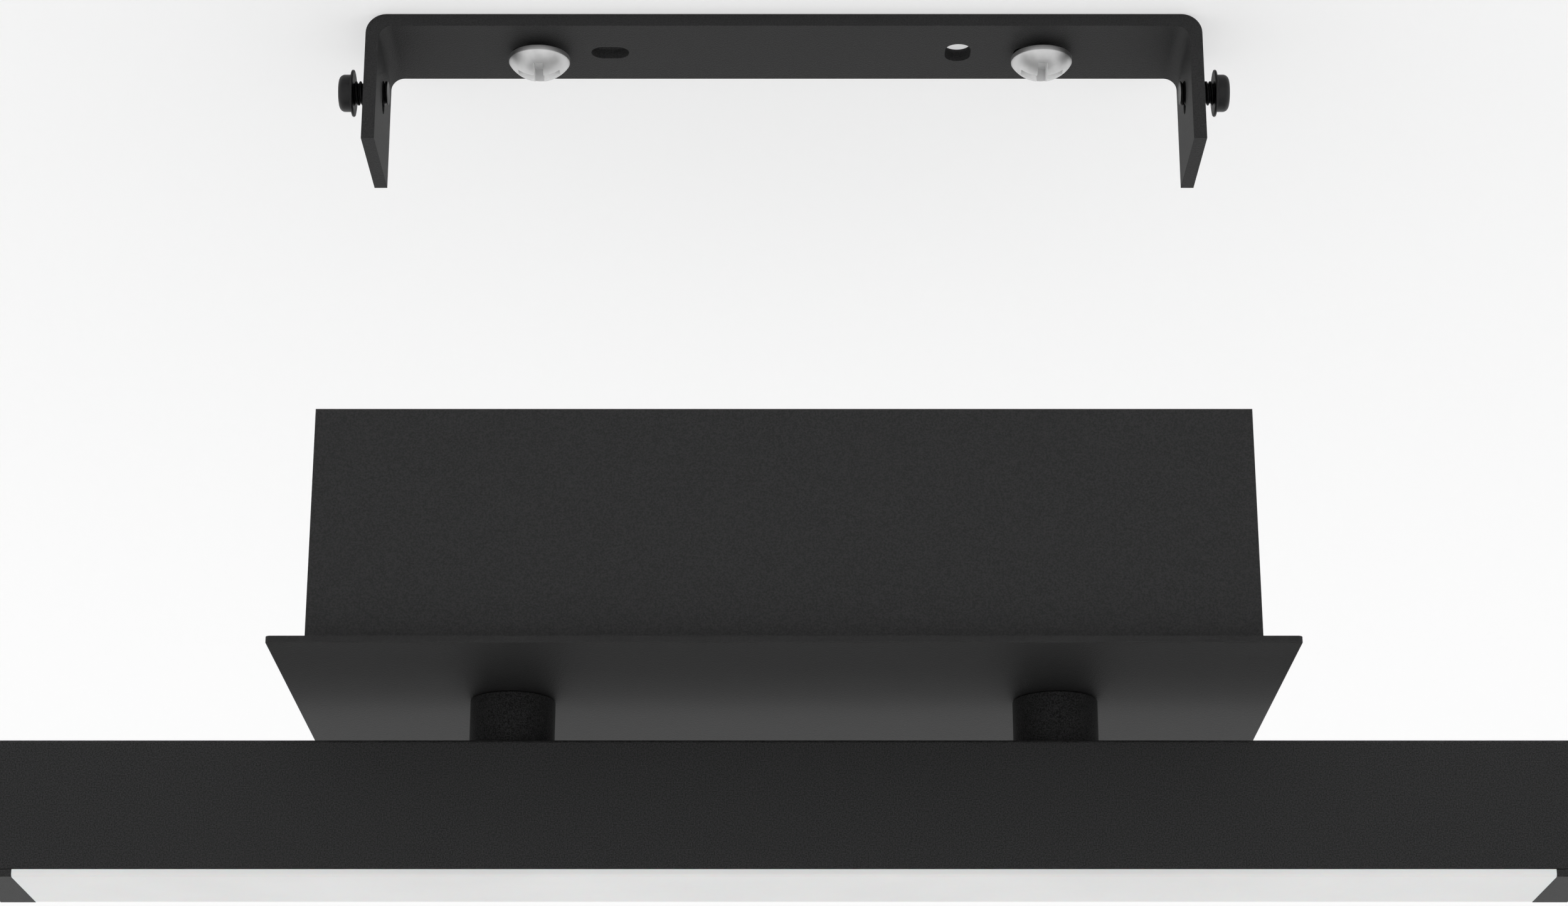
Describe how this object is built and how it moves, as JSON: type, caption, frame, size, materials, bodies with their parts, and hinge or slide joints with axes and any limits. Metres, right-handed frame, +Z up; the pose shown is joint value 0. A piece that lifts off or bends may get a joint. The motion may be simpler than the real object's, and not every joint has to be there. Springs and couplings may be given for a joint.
{
  "type": "linear led ceiling lamp",
  "caption": "Slim straight LED ceiling lamp shown off its U-shaped ceiling bracket: open canopy box, cover plate, two round standoffs and a beam with an opal underside.",
  "frame": {"origin": "middle of the bracket's ceiling face, in the ceiling plane", "axes": "+X along the beam and the bracket, +Y across the beam, +Z up into the ceiling"},
  "size_m": [0.24, 0.064, 0.1684],
  "materials": {
    "black_coat": "fine textured matt powder coat",
    "black_screw": "blackened steel",
    "bright_screw": "bright zinc plate",
    "zinc_steel": "zinc plated",
    "black_plastic": "moulded, matt",
    "opal_plastic": "opal, satin",
    "white_plastic": "moulded, satin",
    "clear_nylon": "natural nylon",
    "brass": "plain",
    "aluminium": "mill finish",
    "white_board": "white solder mask",
    "green_board": "green solder mask",
    "phosphor": "satin",
    "winding_tape": "taped",
    "capacitor_sleeve": "shrunk sleeve",
    "brown_sheath": "extruded",
    "blue_sheath": "extruded",
    "earth_sheath": "extruded, green and yellow",
    "red_sheath": "extruded",
    "black_sheath": "extruded"
  },
  "bodies": {
    "bracket": {"ceiling_bracket": "black_coat", "ceiling_screw_left": "bright_screw", "ceiling_screw_right": "bright_screw"},
    "side_screw_left": {"side_screw_left": "black_screw"},
    "side_screw_right": {"side_screw_right": "black_screw"},
    "lamp": {"canopy_channel": "black_coat", "canopy_end_left": "black_coat", "canopy_end_right": "black_coat", "cover_plate": "black_coat", "standoff_left": "black_coat", "standoff_right": "black_coat", "threaded_tube_left": "zinc_steel", "threaded_tube_right": "zinc_steel", "canopy_washers": "zinc_steel", "canopy_nuts": "zinc_steel", "beam_washers": "zinc_steel", "beam_nuts": "zinc_steel", "lead_bush": "clear_nylon", "beam_profile": "black_coat", "light_carrier": "aluminium", "light_board": "white_board", "light_chips": "phosphor", "board_socket": "white_plastic", "end_cap_left": "black_plastic", "end_cap_right": "black_plastic", "end_cap_screws": "black_screw", "diffuser": "opal_plastic", "driver_case": "white_plastic", "driver_lid": "white_plastic", "driver_board": "green_board", "driver_transformer": "winding_tape", "driver_capacitors": "capacitor_sleeve", "driver_nuts": "zinc_steel", "terminal_body": "clear_nylon", "terminal_brass": "brass", "terminal_screws": "zinc_steel", "terminal_nut": "zinc_steel", "floor_studs": "zinc_steel", "earth_lug": "brass", "earth_nut": "zinc_steel", "live_lead": "brown_sheath", "neutral_lead": "blue_sheath", "earth_lead": "earth_sheath", "positive_lead": "red_sheath", "negative_lead": "black_sheath"}
  },
  "joints": [
    {"name": "lift_onto_bracket", "type": "slide", "parent": "bracket", "child": "lamp", "axis": [0, 0, 1], "range_m": [0, 0.0745]},
    {"name": "side_screw_left_travel", "type": "slide", "parent": "bracket", "child": "side_screw_left", "axis": [1, 0, 0], "range_m": [-0.003, 0.00008]},
    {"name": "side_screw_right_travel", "type": "slide", "parent": "bracket", "child": "side_screw_right", "axis": [-1, 0, 0], "range_m": [-0.003, 0.00008]}
  ]
}
